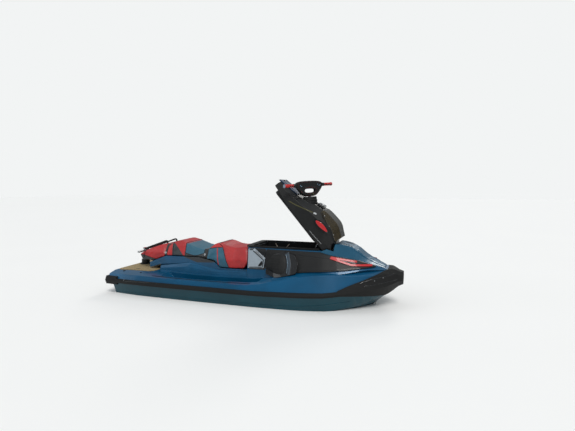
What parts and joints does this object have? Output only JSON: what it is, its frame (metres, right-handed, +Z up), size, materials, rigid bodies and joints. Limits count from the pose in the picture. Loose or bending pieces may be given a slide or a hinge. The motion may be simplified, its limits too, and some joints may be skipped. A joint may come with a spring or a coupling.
{
  "type": "three-seat personal watercraft with raised storage lid",
  "caption": "Sit-astride jet-drive watercraft, front storage lid hinged open with handlebar and strut, seats, rear platform, pump, steering nozzle and reverse bucket.",
  "frame": {"origin": "amidships on the centre line, at the waterline", "axes": "+X to the bow, +Y to port, +Z up"},
  "size_m": [3.451, 1.2562, 1.6426],
  "materials": {
    "hull_paint": "gloss gelcoat, dark teal",
    "deck_paint": "gloss gelcoat, teal blue",
    "hood_paint": "gloss gelcoat, teal",
    "lid_paint": "gloss moulding, dark",
    "door_blue": "gloss, dark blue",
    "black_plastic": "matte",
    "black_gloss": "gloss",
    "black_rubber": "matte",
    "grey_blue": "gloss, light grey blue",
    "red_paint": "gloss, red",
    "mat_black": "textured",
    "mat_tan": "textured, tan",
    "seat_grey": "vinyl",
    "seat_red": "vinyl, red",
    "strap_black": "webbing",
    "aluminium": "cast, satin",
    "steel": "brushed",
    "chrome": "polished",
    "engine_grey": "plain",
    "loop_orange": "webbing, orange",
    "smoked": "smoked clear plastic",
    "grip_red": "ribbed"
  },
  "bodies": {
    "hull_body": {"hull": "hull_paint", "deck": "deck_paint", "guard_band": "black_rubber", "bow_bumper": "black_rubber", "stern_bumper": "black_rubber", "side_panels": "black_plastic", "knee_fairings": "black_gloss", "knee_ridges": "grey_blue", "check_trims": "red_paint", "hood": "hood_paint", "footwell_mats": "mat_black", "platform_mat": "mat_tan", "sponsons": "black_plastic", "bin_liner": "black_plastic", "bin_rim": "black_rubber", "console_sides": "grey_blue", "lid_hinge_base": "steel", "seat_base": "seat_grey", "driver_seat": "seat_red", "passenger_seat": "seat_red", "rear_seat_pad": "seat_red", "seat_straps": "strap_black", "grab_rail": "black_plastic", "pylon_base": "black_plastic", "intake_grate": "aluminium", "pump_housing": "aluminium", "shaft_bearing": "steel", "engine": "engine_grey", "ride_plate": "aluminium", "step_brackets": "steel", "tow_eyes": "steel", "bow_eye": "steel", "strut_foot": "steel"},
    "lid": {"lid_shell": "lid_paint", "lid_liner": "black_plastic", "lid_hinge": "steel", "lid_loops": "loop_orange", "wind_deflector": "smoked", "mirror_pods": "black_gloss", "glove_box": "black_plastic", "gauge": "black_gloss", "column_base": "black_rubber"},
    "glove_door": {"glove_door": "door_blue"},
    "steering": {"handlebar": "steel", "bar_pad": "black_rubber", "grips": "grip_red", "levers": "black_plastic"},
    "strut_tube": {"strut_tube": "black_plastic"},
    "strut_rod": {"strut_rod": "chrome"},
    "pylon": {"pylon_post": "aluminium"},
    "step": {"boarding_step": "steel"},
    "impeller": {"impeller": "steel"},
    "nozzle": {"steering_nozzle": "aluminium"},
    "bucket": {"reverse_bucket": "aluminium"}
  },
  "joints": [
    {"name": "lid_hinge_joint", "type": "hinge", "parent": "hull_body", "child": "lid", "pos_m": [0.871, 0, 0.664], "axis": [0, -1, 0], "range_deg": [0, 50]},
    {"name": "steering_pivot", "type": "hinge", "parent": "lid", "child": "steering", "pos_m": [0.64999, 0, 1.3101], "axis": [-0.0767, 0, 0.9971], "range_deg": [0, 58]},
    {"name": "glove_door_hinge", "type": "hinge", "parent": "lid", "child": "glove_door", "pos_m": [0.54574, 0, 1.20851], "axis": [0, 1, 0], "range_deg": [0, 45]},
    {"name": "strut_foot_pivot", "type": "hinge", "parent": "hull_body", "child": "strut_tube", "pos_m": [0.56, 0.204, 0.33], "axis": [0, 1, 0], "range_deg": [0, 8.25]},
    {"name": "strut_rod_slide", "type": "slide", "parent": "strut_tube", "child": "strut_rod", "axis": [0.4601, 0, 0.8879], "range_m": [-0.0896, 0]},
    {"name": "impeller_spin", "type": "hinge", "parent": "hull_body", "child": "impeller", "pos_m": [-1.27, 0, -0.092], "axis": [1, 0, 0], "continuous": true},
    {"name": "nozzle_steer", "type": "hinge", "parent": "hull_body", "child": "nozzle", "pos_m": [-1.538, 0, -0.092], "axis": [0, 0, 1], "range_deg": [-52.5, 0]},
    {"name": "bucket_pivot", "type": "hinge", "parent": "hull_body", "child": "bucket", "pos_m": [-1.545, 0, -0.092], "axis": [0, -1, 0], "range_deg": [0, 78]},
    {"name": "pylon_slide", "type": "slide", "parent": "hull_body", "child": "pylon", "axis": [0, 0, 1], "range_m": [0, 0.16]},
    {"name": "step_hinge", "type": "hinge", "parent": "hull_body", "child": "step", "pos_m": [-1.682, 0, -0.04], "axis": [0, -1, 0], "range_deg": [0, 145]}
  ],
  "couplings": [
    {"joint": "strut_foot_pivot", "follows": "lid_hinge_joint", "ratio": 0.15905},
    {"joint": "strut_rod_slide", "follows": "lid_hinge_joint", "m_per_rad": -0.10151},
    {"joint": "nozzle_steer", "follows": "steering_pivot", "ratio": -0.89655}
  ]
}
